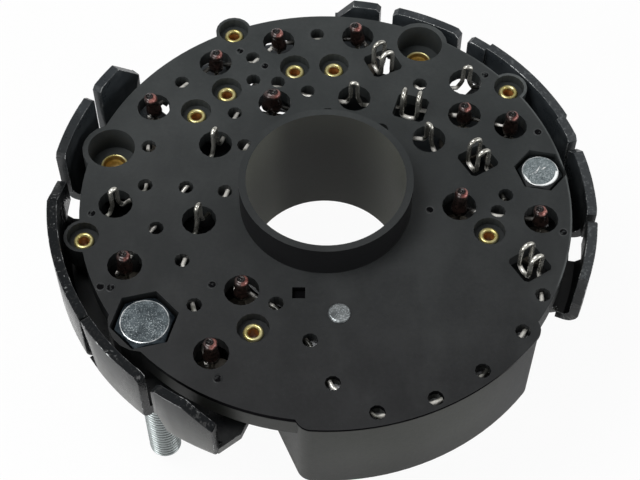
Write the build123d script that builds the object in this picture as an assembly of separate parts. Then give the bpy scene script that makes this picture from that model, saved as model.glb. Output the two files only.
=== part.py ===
from build123d import *
import os
from math import atan2, cos, degrees, hypot, radians, sin

os.makedirs("parts", exist_ok=True)

# Driving dimensions, in millimetres, with the board's top face at height zero
board_radius = 68.5
board_skin = 4.2
rim_depth = 7.6
rim_wall = 2.0
bore_radius = 22.0
tube_radius = 24.0
tube_top = 10.7
tube_bottom = -31.2
plate_top = -14.6
plate_bottom = -17.4
plate_bore = 28.5
metal = plate_top - plate_bottom
bend_inside = 1.5
bend_outside = bend_inside + metal

# Heat sink rims
left_rim = 76.8
left_height = 5.0
right_rim = 75.6
right_height = 0.0

# Regulator housing, a strip that runs out from the bore
housing_angle = -65.3
housing_half_width = 34.8
housing_neck = 26.0
housing_outer = 70.7
housing_bottom = -31.0
housing_wall = 2.2
flange_reach = 0.4
flange_thick = 0.9

# Small round things that repeat are drawn with this many flats
hole_sides = 10
eyelet_sides = 8
round_sides = 20
well_sides = 16
wire_sides = 6
lead_sides = 6

# Wire, diodes and their crimped tips
wire_radius = 0.65
wire_level = -2.6
groove_width = 1.4
groove_top = -1.9
diode_radius = 6.4
diode_top = -13.3
diode_bottom = -22.4
lead_radius = 0.65
ferrule_low_radius = 1.6
ferrule_wide_radius = 1.95
loop_top = 6.7
bend = 0.8
well_radius = 4.8
support_radius = 2.15

# Diode places: the first six sit in the left heat sink
left_diodes = [(-50.1, 32.8), (-32.9, 49.7), (-15.0, 34.7), (-54.4, -21.8), (-22.4, -29.5), (-29.7, -49.0)]
right_diodes = [(-14.3, 58.1), (9.4, 60.4), (40.1, 30.8), (53.2, 27.0), (37.2, -1.4), (59.7, -5.5)]
diode_places = left_diodes + right_diodes
tip_heights = [4.9, 4.6, 5.0, 5.3, 5.5, 5.9, 4.8, 5.1, 4.4, 5.4, 7.0, 4.7]
hairpins = [(-31.6, 19.5), (-58.5, -1.6), (-35.0, -6.8), (8.2, 36.8), (29.5, 22.0), (40.9, 43.2)]

# Square wells with a double loop of wire: place, turn of the hole, run of the loops
square_wells = [((16.7, 50.3), 26, -60), ((24.6, 33.4), -17, -15), ((43.2, 14.6), 32, -60), ((55.6, -20.5), 33, -60)]

# Holes left by the pins that held the wires in the mould
support_holes = [
    (-42.5, 42.3), (-21.9, 51.9), (-21.5, 43.3), (-14.2, 42.6), (-5.4, 39.3), (-2.8, 61.3),
    (-26.5, 30.9), (-50.6, 18.6), (-23.3, 19.3), (-50.7, 4.9), (-39.2, 4.3), (-28.2, 3.1),
    (-46.7, -9.6), (-38.9, -20.1), (-34.9, -34.2), (-13.1, -33.5), (-3.9, -44.8), (2.1, -57.5),
    (13.5, -65.9), (28.6, -61.6), (41.1, -53.5), (52.3, -41.5), (58.4, -30.2), (50.4, 2.5),
    (47.9, -3.0), (27.5, 42.3), (0.5, 30.9), (15.8, 25.4)]

# Brass eyelets
rim_eyelets = [(-28.0, 62.3), (-66.6, -12.4), (53.7, 41.4)]
inner_eyelets = [(-9.4, 48.5), (2.2, 49.2), (-29.2, 39.6), (-37.8, 31.5), (45.2, -9.7), (-19.0, -41.2)]
small_eyelets = rim_eyelets + inner_eyelets
small_recess = 4.45
small_recess_depth = 3.0
eyelet_tube = 1.95
mounting_holes = [(-61.2, 17.8), (27.9, 57.8)]
mounting_boss = 8.3
mounting_recess = 6.7
mounting_recess_depth = 8.5
mounting_tube = 3.3
mounting_bore = 2.75
spigot_radius = 4.6
spigot_bottom = -17.9

# Bolts: across flats, shank radius, head and pocket
stud_place = (-47.9, -39.0)
stud_flats = 14.29
stud_radius = 4.7625
stud_body = 4.6
stud_thread_top = -27.8
stud_end = -73.75
stud_floor = -7.0
stud_head = 6.2
ground_place = (60.7, 11.2)
ground_flats = 11.1
ground_radius = 3.175
ground_end = -27.0
ground_floor = -4.5
ground_head = 4.0
rivet_place = (3.8, -36.6)
rivet_head = 0.8


def rod(place, radius, low, high, sides=0):
    x, y = place
    outline = RegularPolygon(radius, sides) if sides else Circle(radius)
    return Pos(x, y, low) * extrude(outline, high - low)


def taper(place, low_radius, low, high_radius, high, sides):
    x, y = place
    ends = [Pos(x, y, low) * RegularPolygon(low_radius, sides), Pos(x, y, high) * RegularPolygon(high_radius, sides)]
    return loft(ends, ruled=True)


def hexagon(place, flats, turn, low, high):
    x, y = place
    outline = Rot(0, 0, turn) * RegularPolygon(flats / 2, 6, major_radius=False)
    return Pos(x, y, low) * extrude(outline, high - low)


def slab(outline, low, high):
    return Pos(0, 0, low) * extrude(outline, high - low)


def pie(radius, start, finish):
    rim = CenterArc((0, 0), radius, start, finish - start)
    return make_face([Line((0, 0), rim @ 0), rim, Line(rim @ 1, (0, 0))])


def turned(corners, start=0.0, sweep_angle=360.0):
    outline = Plane.XZ * Polygon(*corners, align=None)
    return Rot(0, 0, start) * revolve(outline, Axis.Z, sweep_angle)


def strip_point(along, across):
    angle = radians(housing_angle)
    return along * cos(angle) - across * sin(angle), along * sin(angle) + across * cos(angle)


def store(name, shape):
    shape.label = name
    export_step(shape, "parts/" + name + ".step")
    print(name, "volume", round(shape.volume, 1))


# Regulator housing outlines
def housing_outline(reach, half_width, neck):
    angle = Rot(0, 0, housing_angle)
    wide = angle * Pos(59, 0) * Rectangle(42, 2 * half_width)
    narrow = angle * Pos(36, 0) * Rectangle(12, 2 * neck)
    outline = (wide & Circle(reach)) + narrow
    outer = [corner for corner in outline.vertices() if hypot(corner.X, corner.Y) > reach - 0.1]
    return fillet(outer, 4.5)


def housing_shell():
    full = housing_outline(housing_outer, housing_half_width, housing_neck)
    flange = housing_outline(housing_outer + flange_reach, housing_half_width + flange_reach, housing_neck)
    return slab(full, housing_bottom, 0) + slab(flange, -flange_thick, 0)


def cavity(low, high, gap=0.0):
    wall = housing_wall + gap
    angle = Rot(0, 0, housing_angle)
    wide = angle * Pos(57 + wall, 0) * Rectangle(38, 2 * (housing_half_width - wall))
    narrow = angle * Pos(36 + wall, 0) * Rectangle(12, 2 * (housing_neck - wall))
    outline = (wide & Circle(housing_outer - wall)) + narrow
    return slab(outline, low, high)


# Terminal board
def board_outline():
    outline = Circle(board_radius) + Pos(*stud_place) * RegularPolygon(9.7, round_sides)
    for place in rim_eyelets:
        outline += Pos(*place) * RegularPolygon(5.3, round_sides)
    for place in mounting_holes:
        outline += Pos(*place) * RegularPolygon(mounting_boss, round_sides)
    return outline


def board_posts():
    posts = [rod(place, 4.0, plate_top, -board_skin, 8) for place in small_eyelets]
    posts += [rod(place, 5.3, -8, -board_skin, round_sides) for place in rim_eyelets]
    posts += [rod(place, mounting_boss, -12.5, -board_skin, round_sides) for place in mounting_holes]
    posts += [rod(place, 7.0, plate_top, -12.5, well_sides) for place in mounting_holes]
    posts += [rod(place, spigot_radius, spigot_bottom, plate_top, well_sides) for place in mounting_holes]
    posts.append(rod(stud_place, 9.7, plate_top, -board_skin, round_sides))
    posts.append(rod(ground_place, 8.5, plate_top, -board_skin, well_sides))
    return posts


def board_cuts():
    cuts = [rod(place, small_recess, -small_recess_depth, 1, well_sides) for place in small_eyelets]
    cuts += [rod(place, eyelet_tube, plate_top - 1, 0, eyelet_sides) for place in small_eyelets]
    cuts += [rod(place, mounting_recess, -mounting_recess_depth, 1) for place in mounting_holes]
    cuts += [rod(place, mounting_tube, spigot_bottom - 1, 0, well_sides) for place in mounting_holes]
    cuts.append(hexagon(stud_place, 16.2, 14, stud_floor, 1))
    cuts.append(rod(stud_place, stud_radius + 0.3, plate_top - 1, 0, hole_sides))
    cuts.append(hexagon(ground_place, 13.0, -10, ground_floor, 1))
    cuts.append(rod(ground_place, ground_radius + 0.3, plate_top - 1, 0, hole_sides))
    cuts.append(rod(rivet_place, 1.6, -6, 1, hole_sides))
    cuts.append(Pos(-7.1, -30.2, -1) * Box(3.5, 3.5, 2))
    over_housing = [place for place in support_holes if place[1] < -40 and place[0] > -10]
    cuts += [rod(place, support_radius, -board_skin - 0.5, 1, hole_sides) for place in over_housing]
    return cuts


def square_well():
    outline = Rectangle(9.2, 8.8)
    return chamfer(outline.vertices(), 0.9)


def skin_outline():
    outline = board_outline()
    wells = [Pos(*place) * RegularPolygon(well_radius, well_sides) for place in diode_places + hairpins]
    wells += [Pos(*place) * RegularPolygon(support_radius, hole_sides) for place in support_holes]
    wells += [Pos(*place) * Rot(0, 0, turn) * square_well() for place, turn, run in square_wells]
    return outline - wells


def groove(start, finish):
    (x0, y0), (x1, y1) = start, finish
    length = hypot(x1 - x0, y1 - y0) + groove_width
    height = board_skin + groove_top
    middle = Pos((x0 + x1) / 2, (y0 + y1) / 2, groove_top - height / 2)
    return middle * Rot(0, 0, degrees(atan2(y1 - y0, x1 - x0))) * Box(length, groove_width, height)


def terminal_board(grooves):
    outline = board_outline()
    board = slab(skin_outline(), -board_skin, 0)
    board += slab(outline - offset(outline, -rim_wall), -rim_depth, -board_skin)
    board += rod((0, 0), tube_radius, tube_bottom, tube_top)
    board += board_posts()
    board += housing_shell()
    board -= cavity(housing_bottom - 1, -board_skin)
    board -= rod((0, 0), bore_radius, tube_bottom - 1, tube_top + 1)
    board -= board_cuts()
    board -= grooves
    return board


# Routes of the four formed wires; each station is a kind and a place
def run(x, y):
    return ("run", (x, y))


def tip(x, y):
    return ("tip", (x, y))


def pin(x, y):
    return ("hairpin", (x, y))


def twin(number):
    place, turn, direction = square_wells[number]
    return ("twin", place, direction)


upper_route = [
    run(-61.0, -4.2), pin(-58.5, -1.6), run(-50.7, 4.9), tip(-50.1, 32.8), run(-42.5, 42.3), tip(-32.9, 49.7),
    run(-21.9, 51.9), tip(-14.3, 58.1), run(-2.8, 61.3), tip(9.4, 60.4), twin(0), run(27.5, 42.3),
    pin(40.9, 43.2), run(44.6, 43.5)]
middle_route = [
    run(-56.6, -23.4), tip(-54.4, -21.8), pin(-31.6, 19.5), run(-21.5, 43.3), run(-14.2, 42.6),
    run(-5.4, 39.3), pin(8.2, 36.8), twin(1), tip(40.1, 30.8), tip(53.2, 27.0), twin(2), run(50.4, 2.5)]
inner_route = [
    run(-30.8, -51.2), tip(-29.7, -49.0), run(-38.9, -20.1), pin(-35.0, -6.8), run(-28.2, 3.1),
    run(-23.3, 19.3), tip(-15.0, 34.7), run(0.5, 30.9), run(15.8, 25.4), pin(29.5, 22.0),
    tip(37.2, -1.4), run(47.9, -3.0), tip(59.7, -5.5), run(62.1, -4.6)]
lower_route = [
    run(-24.6, -27.6), tip(-22.4, -29.5), run(-13.1, -33.5), run(-3.9, -44.8), run(2.1, -57.5),
    run(13.5, -65.9), run(28.6, -61.6), run(41.1, -53.5), run(52.3, -41.5), run(58.4, -30.2), twin(3)]


def unit(start, finish):
    x = finish[0] - start[0]
    y = finish[1] - start[1]
    length = hypot(x, y)
    return x / length, y / length


def shifted(place, direction, distance):
    return place[0] + direction[0] * distance, place[1] + direction[1] * distance


def beside_lead(before, place, after):
    one = unit(place, before)
    two = unit(place, after)
    away = (one[0] - two[0], one[1] - two[1])
    share = hypot(*away) / 2
    side = (-away[1] / share / 2, away[0] / share / 2)
    inner = 1 if side[0] * (one[0] + two[0]) + side[1] * (one[1] + two[1]) >= 0 else -1
    return shifted(place, side, inner * (lead_radius + wire_radius / share + 0.2))


def arch(first, second, flare=0.0):
    way = unit(first, second)
    rise = [(shifted(first, way, -flare), wire_level), (first, 0.5), (first, loop_top - 0.6)]
    crown = [(shifted(first, way, 0.5), loop_top), (shifted(second, way, -0.5), loop_top)]
    return rise + crown + [(second, loop_top - 0.6), (second, 0.5), (shifted(second, way, flare), wire_level)]


def bottom_bend(first, second):
    way = unit(first, second)
    low = [(shifted(first, way, bend), wire_level), (shifted(second, way, -bend), wire_level)]
    return [(first, wire_level + bend)] + low + [(second, wire_level + bend)]


def hairpin_points(before, place, after):
    way = unit(before, after)
    return arch(shifted(place, way, -1.0), shifted(place, way, 1.0), 1.4)


def twin_points(before, place, direction):
    along = (cos(radians(direction)), sin(radians(direction)))
    across = (-along[1], along[0])
    side = -1 if (before[0] - place[0]) * along[0] + (before[1] - place[1]) * along[1] < 0 else 1
    first = shifted(place, along, 2.25 * side)
    second = shifted(place, along, -2.25 * side)
    out = arch(shifted(first, across, 1.8), shifted(first, across, -1.8))
    back = arch(shifted(second, across, -1.8), shifted(second, across, 1.8))
    return out[:-1] + bottom_bend(out[-1][0], back[0][0]) + back[1:]


def wire_points(route):
    points = []
    places = [station[1] for station in route]
    for number, station in enumerate(route):
        before = places[number - 1] if number else station[1]
        after = places[number + 1] if number + 1 < len(places) else station[1]
        if station[0] == "run":
            points.append((station[1], wire_level))
        elif station[0] == "tip":
            points.append((beside_lead(before, station[1], after), wire_level))
        elif station[0] == "hairpin":
            points += hairpin_points(before, station[1], after)
        else:
            points += twin_points(before, station[1], station[2])
    return [(x, y, z) for (x, y), z in points]


def formed_wire(route):
    path = Polyline(*wire_points(route))
    section = Plane(origin=path @ 0, z_dir=path % 0) * RegularPolygon(wire_radius, wire_sides)
    return sweep(section, path=path, transition=Transition.RIGHT)


def route_grooves(route):
    points = wire_points(route)
    pairs = [(a, b) for a, b in zip(points, points[1:]) if a[2] == b[2] == wire_level]
    return [groove(a[:2], b[:2]) for a, b in pairs if hypot(a[0] - b[0], a[1] - b[1]) > 4.6]


# Bent sheet heat sinks
def fin(rim, top, start, finish):
    bend = rim - bend_outside
    level = plate_top + bend_inside
    foot = Polyline((bend, plate_top), (bend - 2, plate_top), (bend - 2, plate_bottom), (bend, plate_bottom))
    outer = CenterArc((bend, level), bend_outside, -90, 90)
    wall = Polyline((rim, level), (rim, top), (rim - metal, top), (rim - metal, level), (bend, plate_top))
    outline = Plane.XZ * make_face([foot, outer, wall])
    return Rot(0, 0, start) * revolve(outline, Axis.Z, finish - start)


def wall_cut(rim, corners):
    middle = sum(angle for angle, height in corners) / len(corners)
    facing = (cos(radians(middle)), sin(radians(middle)), 0)
    origin = (rim * facing[0], rim * facing[1], 0)
    plane = Plane(origin=origin, x_dir=(-facing[1], facing[0], 0), z_dir=facing)
    outline = Polygon(*[(rim * radians(angle - middle), height) for angle, height in corners], align=None)
    return extrude(plane * outline, 7, both=True)


def plate_holes(diodes, eyelets, mounting, bolt_place, bolt_radius):
    holes = [Pos(*place) * RegularPolygon(diode_radius, well_sides) for place in diodes]
    holes += [Pos(*place) * RegularPolygon(eyelet_tube, eyelet_sides) for place in eyelets]
    holes.append(Pos(*mounting) * RegularPolygon(spigot_radius + 0.15, well_sides))
    holes.append(Pos(*bolt_place) * RegularPolygon(bolt_radius + 0.3, hole_sides))
    return holes


split_line = [(-1.5, 20.0), (-3.5, 37.0), (-8.5, 42.8), (-18.5, 44.6), (-22.9, 53.5), (-22.3, 82.0)]
split_gap = 2.8


def notch(start, finish, inner, outer=90):
    return pie(outer, start, finish) - Circle(inner)


def corner_cuts(rim, top, corners):
    slope = degrees(1.3 / rim)
    cuts = []
    for angle, way in corners:
        edge = angle - 0.1 * way
        outline = [(edge, top - 1.3), (angle + slope * way, top + 0.1), (edge, top + 0.1)]
        cuts.append(wall_cut(rim, outline))
    return cuts


def left_heat_sink():
    plate = pie(left_rim - 5.5, 139.1, 256) + pie(72.0, 90, 139.2) + pie(74.8, 246, 252)
    plate -= notch(134.5, 139.1, 63.5)
    plate -= Circle(plate_bore)
    plate -= Polygon((60, 0), *split_line, (60, 90), align=None)
    plate -= trace(Polyline(*split_line), split_gap)
    edge = [strip_point(27, -27.5), strip_point(35.5, -29), strip_point(36.5, -37.2), strip_point(42, -37.2)]
    plate -= Polygon((-4, -20), *edge, (-19.4, -59.2), (-21.9, -65), (-27.7, -69.5), (-31, -82), (20, -82),
                     (20, -20), align=None)
    eyelets = [place for place in small_eyelets if place[0] < -10]
    plate -= plate_holes(left_diodes, eyelets, mounting_holes[0], stud_place, stud_radius)
    sink = slab(plate, plate_bottom, plate_top)
    for start, finish in [(139.1, 152), (154.5, 171.5), (173.3, 212.8), (213.5, 231.5), (234.7, 248.2)]:
        sink += fin(left_rim, left_height, start, finish)
    sink -= wall_cut(left_rim, [(138, -4), (139.3, -4), (144.7, 5), (144.7, 6), (138, 6)])
    sink -= slab(notch(170.7, 177.3, 70.0), plate_bottom - 1, -12.6)
    sink -= wall_cut(left_rim, [(172.5, -3.8), (173.3, -3.8), (178.3, 0), (183, 5), (183, 6), (172.5, 6)])
    sink -= wall_cut(left_rim, [(212.9, -14.5), (217.4, -14.5), (215.9, -5), (213.6, 5), (213.6, 6), (212.9, 6)])
    sink -= wall_cut(left_rim, [(242, 5), (248, -1.5), (250, -1.5), (250, 6), (242, 6)])
    sink -= wall_cut(left_rim, [(234, -7.5), (235.5, -7.5), (238.1, -16), (238.1, -18), (234, -18)])
    corners = [(152, -1), (154.5, 1), (171.5, -1), (212.8, -1), (231.5, -1), (234.7, 1)]
    return sink - corner_cuts(left_rim, left_height, corners)


def right_heat_sink():
    plate = pie(right_rim - 5.5, -30, 88) + pie(72.0, 87.9, 110)
    plate -= notch(71.8, 74.2, 61.0)
    plate -= notch(74.0, 77.2, 67.0)
    plate -= Circle(plate_bore)
    plate -= Polygon((-60, 0), *split_line, (-60, 90), align=None)
    plate -= trace(Polyline(*split_line), split_gap)
    edge = [strip_point(44, 37), strip_point(36, 37), strip_point(29, 29)]
    plate -= Polygon((90, -24.2), (68.2, -24.4), (63, -25.3), *edge, (20, -7.5), (20, -70), (90, -70), align=None)
    eyelets = [place for place in small_eyelets if place[0] > -10]
    plate -= plate_holes(right_diodes, eyelets, mounting_holes[1], ground_place, ground_radius)
    sink = slab(plate, plate_bottom, plate_top)
    spans = [(77.2, 88, 0), (57, 74, 0), (49.5, 54.5, 0), (24, 49.5, 1.0), (17.5, 24, 0.2), (-2.5, 16.5, 0)]
    for start, finish, bulge in spans:
        sink += fin(right_rim + bulge, right_height, start, finish)
    sink += fin(right_rim, right_height, -22.5, -4.3)
    sink -= slab(notch(49.9, 55.6, 63.5, 72.7), plate_bottom - 1, plate_top + 0.1)
    sink -= slab(notch(54.5, 57, 63.5), plate_bottom - 1, plate_top + 0.1)
    sink -= slab(notch(-8, 0, 69.6), plate_bottom - 1, -12.6)
    sink -= wall_cut(right_rim, [(83.7, 0), (87.5, -6), (89, -6), (89, 1), (83.7, 1)])
    sink -= wall_cut(right_rim, [(56.9, -1.5), (58.2, 0.1), (56.9, 0.1)])
    sink -= wall_cut(right_rim, [(74.1, -1.5), (72.8, 0.1), (74.1, 0.1)])
    sink -= wall_cut(right_rim, [(16.6, -3.5), (13.8, 0.1), (16.6, 0.1)])
    sink -= wall_cut(right_rim, [(-20, 0.1), (-22.6, -8), (-22.6, 0.1)])
    return sink - corner_cuts(right_rim, right_height, [(77.2, 1), (54.5, -1), (17.5, 1), (-2.5, 1), (-4.3, -1)])


# Diodes and their crimped tips
def diode(place, top):
    body = rod(place, diode_radius, diode_bottom, diode_top, well_sides)
    return body + rod(place, lead_radius, diode_top, top - 1.0, lead_sides)


def ferrule(place, top):
    low = wire_level + wire_radius
    sleeve = taper(place, ferrule_low_radius, low, ferrule_wide_radius, top - 1.2, eyelet_sides)
    crown = taper(place, ferrule_wide_radius, top - 1.2, 1.2, top, eyelet_sides)
    return sleeve + crown - rod(place, lead_radius, low - 1, top + 1, lead_sides)


# Eyelets
def small_eyelet(place):
    floor = -small_recess_depth
    tube = rod(place, eyelet_tube, plate_bottom, floor, eyelet_sides)
    ring = taper(place, 2.8, floor, 2.0, floor + 0.7, eyelet_sides)
    return tube + ring - rod(place, 1.5, plate_bottom - 1, 1, eyelet_sides)


def mounting_eyelet(place):
    floor = -mounting_recess_depth
    tube = rod(place, mounting_tube, spigot_bottom - 0.8, floor, well_sides)
    ring = taper(place, 3.9, floor, 3.4, floor + 0.9, well_sides)
    foot = rod(place, 5.6, spigot_bottom - 0.8, spigot_bottom, well_sides)
    return tube + ring + foot - rod(place, mounting_bore, -20, 0)


# Bolts, nuts and washers
def bolt_head(place, flats, turn, floor, head):
    crown = floor + head
    corner = flats / 2 / cos(radians(30))
    flat = flats * 0.47
    slope = (corner - flat) * 0.577
    dome = turned([(0, floor), (corner + 1, floor), (corner + 1, crown - slope - 0.577), (flat, crown), (0, crown)])
    return hexagon(place, flats, turn, floor, crown) & Pos(*place) * dome


def output_stud():
    head = bolt_head(stud_place, stud_flats, 14, stud_floor, stud_head)
    body = rod(stud_place, stud_body, stud_thread_top, stud_floor, round_sides)
    tip = stud_end + 0.9
    profile = [(0, stud_end), (stud_radius - 0.9, stud_end), (stud_radius, tip), (stud_radius, stud_thread_top)]
    return head + body + Pos(*stud_place) * turned(profile + [(0, stud_thread_top)])


def ground_bolt():
    head = bolt_head(ground_place, ground_flats, -10, ground_floor, ground_head)
    shank = rod(ground_place, ground_radius, ground_end + 0.6, ground_floor, well_sides)
    tip = taper(ground_place, ground_radius - 0.6, ground_end, ground_radius, ground_end + 0.6, well_sides)
    return head + shank + tip


def washer(place, inner, outer, low, high):
    return rod(place, outer, low, high, round_sides) - rod(place, inner, low - 1, high + 1, hole_sides)


def nut(place, flats, turn, radius, low, high, sides):
    return hexagon(place, flats, turn, low, high) - rod(place, radius, low - 1, high + 1, sides)


def rivet():
    head = taper(rivet_place, 3.15, 0, 2.8, rivet_head, well_sides)
    foot = rod(rivet_place, 1.6, -6.2, 0, hole_sides)
    return head + foot


# Regulator inside the housing
def regulator_plate():
    return cavity(-6.2, -board_skin, 0.3) - rod(rivet_place, 1.6, -7, 0, hole_sides)


def regulator_capsule():
    x, y = strip_point(52, 0)
    return Pos(x, y, -11.2) * Rot(0, 0, housing_angle) * Box(20, 44, 10)


def potting():
    return cavity(-29.5, -17.0)


routes = [upper_route, middle_route, inner_route, lower_route]
wire_names = ["upper_conductor", "middle_conductor", "inner_conductor", "lower_conductor"]
grooves = [cut for route in routes for cut in route_grooves(route)]
store("terminal_board", terminal_board(grooves))
store("positive_heat_sink", left_heat_sink())
store("negative_heat_sink", right_heat_sink())
for name, route in zip(wire_names, routes):
    store(name, formed_wire(route))
for number, (place, top) in enumerate(zip(diode_places, tip_heights)):
    side = "positive" if number < 6 else "negative"
    store(side + "_diode_" + str(number % 6 + 1), diode(place, top))
store("lead_ferrules", Compound(children=[ferrule(place, top) for place, top in zip(diode_places, tip_heights)]))
store("small_eyelets", Compound(children=[small_eyelet(place) for place in small_eyelets]))
store("mounting_eyelets", Compound(children=[mounting_eyelet(place) for place in mounting_holes]))
store("output_stud", output_stud())
store("output_washer", washer(stud_place, stud_radius + 0.4, 9.5, plate_bottom - 1.6, plate_bottom))
store("output_nut", nut(stud_place, stud_flats, 14, stud_body, plate_bottom - 9.8, plate_bottom - 1.6, round_sides))
store("ground_bolt", ground_bolt())
store("ground_washer", washer(ground_place, ground_radius + 0.3, 7.0, plate_bottom - 1.2, plate_bottom))
store("ground_nut", nut(ground_place, ground_flats, -10, ground_radius, plate_bottom - 6.7, plate_bottom - 1.2,
                        well_sides))
store("regulator_rivet", rivet())
store("regulator_plate", regulator_plate())
store("regulator_capsule", regulator_capsule())
store("potting", potting())
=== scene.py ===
import math
import random

import bmesh
import bpy
from mathutils import Matrix, Vector, noise


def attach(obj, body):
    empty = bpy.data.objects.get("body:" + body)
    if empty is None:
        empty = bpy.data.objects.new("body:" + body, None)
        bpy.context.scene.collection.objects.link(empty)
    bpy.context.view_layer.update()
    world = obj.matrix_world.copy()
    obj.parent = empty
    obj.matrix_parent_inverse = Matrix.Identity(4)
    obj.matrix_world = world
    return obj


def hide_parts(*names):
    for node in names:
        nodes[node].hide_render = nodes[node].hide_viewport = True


random.seed(11)
mm = 0.001
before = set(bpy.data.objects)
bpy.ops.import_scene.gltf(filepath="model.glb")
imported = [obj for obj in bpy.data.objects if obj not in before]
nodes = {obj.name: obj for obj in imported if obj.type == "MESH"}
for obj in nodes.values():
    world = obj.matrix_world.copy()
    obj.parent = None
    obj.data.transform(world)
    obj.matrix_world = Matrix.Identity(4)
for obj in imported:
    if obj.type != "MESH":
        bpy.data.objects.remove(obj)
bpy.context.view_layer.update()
print("frame loaded:", len(nodes), "nodes")


# Shader maths through a small wrapper, so a material reads like the sum it is
class Sock:
    def __init__(self, tree, socket):
        self.tree = tree
        self.socket = socket

    def maths(self, operation, *others):
        return self.tree.node("ShaderNodeMath", {"operation": operation}, [self, *others])

    def __add__(self, other):
        return self.maths("ADD", other)

    def __radd__(self, other):
        return self.maths("ADD", other)

    def __sub__(self, other):
        return self.maths("SUBTRACT", other)

    def __rsub__(self, other):
        return self.tree.node("ShaderNodeMath", {"operation": "SUBTRACT"}, [other, self])

    def __mul__(self, other):
        return self.maths("MULTIPLY", other)

    def __rmul__(self, other):
        return self.maths("MULTIPLY", other)

    def __truediv__(self, other):
        return self.maths("DIVIDE", other)

    def __rtruediv__(self, other):
        return self.tree.node("ShaderNodeMath", {"operation": "DIVIDE"}, [other, self])

    # Smooth step from low to high; it falls where low is the larger of the two
    def ramp(self, low, high, fromValue=0.0, toValue=1.0):
        settings = {"interpolation_type": "SMOOTHSTEP"}
        return self.tree.node("ShaderNodeMapRange", settings, [self, low, high, fromValue, toValue])

    def upToOne(self):
        return self.ramp(0.0, 1.0)


class NodeTree:
    def __init__(self, tree, output):
        self.nodes = tree.nodes
        self.links = tree.links
        self.surface = tree.nodes[output].inputs["Surface"]

    def feed(self, made, key, value):
        if isinstance(value, Sock):
            self.links.new(value.socket, made.inputs[key])
        else:
            made.inputs[key].default_value = value

    def node(self, kind, settings=None, inputs=None, output=0):
        made = self.nodes.new(kind)
        for key, value in (settings or {}).items():
            setattr(made, key, value)
        pairs = inputs.items() if isinstance(inputs, dict) else enumerate(inputs or [])
        for key, value in pairs:
            self.feed(made, key, value)
        return Sock(self, made.outputs[output])

    def split(self, vector):
        return [self.node("ShaderNodeSeparateXYZ", {}, [vector], axis) for axis in range(3)]

    def blend(self, share, first, second):
        return self.node("ShaderNodeMixShader", {}, [share, first, second])

    def show(self, shader):
        self.links.new(shader.socket, self.surface)


class Material(NodeTree):
    def __init__(self, name, plain):
        self.data = bpy.data.materials.new(name)
        self.data.use_nodes = True
        super().__init__(self.data.node_tree, "Material Output")
        self.principled = self.nodes["Principled BSDF"]
        self.shader = Sock(self, self.principled.outputs[0])
        self.set(plain)
        self.place = self.node("ShaderNodeTexCoord", {}, [], "Object")
        self.facing = self.node("ShaderNodeTexCoord", {}, [], "Normal")
        self.inMm = self.vector("SCALE", {0: self.place, "Scale": 1 / mm})

    def set(self, sockets):
        for key, value in sockets.items():
            self.feed(self.principled, key, value)

    def vector(self, operation, inputs, output=0):
        return self.node("ShaderNodeVectorMath", {"operation": operation}, inputs, output)

    # Sockets 0, 6 and 7 are a colour mix's share and its two colours, and output 2 its result
    def mix(self, share, first, second):
        return self.node("ShaderNodeMix", {"data_type": "RGBA"}, {0: share, 6: first, 7: second}, 2)

    def noise(self, scale, detail=3.0, rough=0.5, stretch=None):
        place = self.place if stretch is None else self.vector("MULTIPLY", [self.place, stretch])
        inputs = {"Vector": place, "Scale": scale, "Detail": detail, "Roughness": rough}
        return self.node("ShaderNodeTexNoise", {}, inputs)

    def bump(self, height, strength, depth):
        return self.node("ShaderNodeBump", {}, {"Height": height, "Strength": strength, "Distance": depth * mm})

    # Distance in plan from an upright axis, in mm
    def awayFrom(self, axis):
        level = self.vector("MULTIPLY", [self.inMm, (1.0, 1.0, 0.0)])
        return self.vector("DISTANCE", [level, (axis[0], axis[1], 0.0)], "Value")

    def nearest(self, axes):
        found = self.awayFrom(axes[0])
        for axis in axes[1:]:
            found = found.maths("MINIMUM", self.awayFrom(axis))
        return found

    # A short scratch in plan: its middle, its angle in degrees, half its length and half its width
    def streak(self, middle, angle, length, width):
        x, y, height = self.split(self.inMm)
        aside, ahead = x - middle[0], y - middle[1]
        turn = math.radians(angle)
        along = (aside * math.cos(turn) + ahead * math.sin(turn)).maths("ABSOLUTE")
        across = (ahead * math.cos(turn) - aside * math.sin(turn)).maths("ABSOLUTE")
        return along.ramp(length, length * 0.5) * across.ramp(width, width * 0.4)

    # A matt layer without any reflection, to paint shade on spots that stay dark
    def cover(self, share, colour):
        layer = {"Base Color": colour, "Roughness": 0.5, "Specular IOR Level": 0.0}
        self.show(self.blend(share, self.shader, self.node("ShaderNodeBsdfPrincipled", {}, layer)))


def rgb(red, green, blue):
    return red, green, blue, 1.0


def plainMaterial(name, colours, metallic, roughness):
    m = Material(name, {"Metallic": metallic})
    patch = m.noise(220.0, 4.0, 0.6)
    m.set({
        "Base Color": m.mix(patch.ramp(0.35, 0.7), *colours),
        "Roughness": patch.ramp(0.3, 0.7, roughness, roughness + 0.12)})
    return m.data


def zincMaterial(name, colours, roughness):
    m = Material(name, {"Metallic": 0.7})
    cloudy = m.noise(320.0, 5.0, 0.7)
    fleck = m.noise(2500.0, 3.0, 0.6)
    base = m.mix((cloudy * 0.6 + fleck * 0.4).ramp(0.36, 0.64), *colours)
    bright = (fleck * 0.75 + m.noise(160.0, 2.0) * 0.25).ramp(0.555, 0.60)
    base = m.mix(bright * 0.75, base, rgb(0.58, 0.64, 0.66))
    m.set({
        "Base Color": base,
        "Roughness": cloudy.ramp(0.3, 0.7, roughness, roughness + 0.15),
        "Normal": m.bump(fleck * 0.5 + cloudy, 0.3, 0.07)})
    return m.data


print("shader helpers ready")


# Mesh helpers; places and heights are in mm
def dress(node, look):
    data = nodes[node].data
    data.materials.clear()
    data.materials.append(look)


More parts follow.
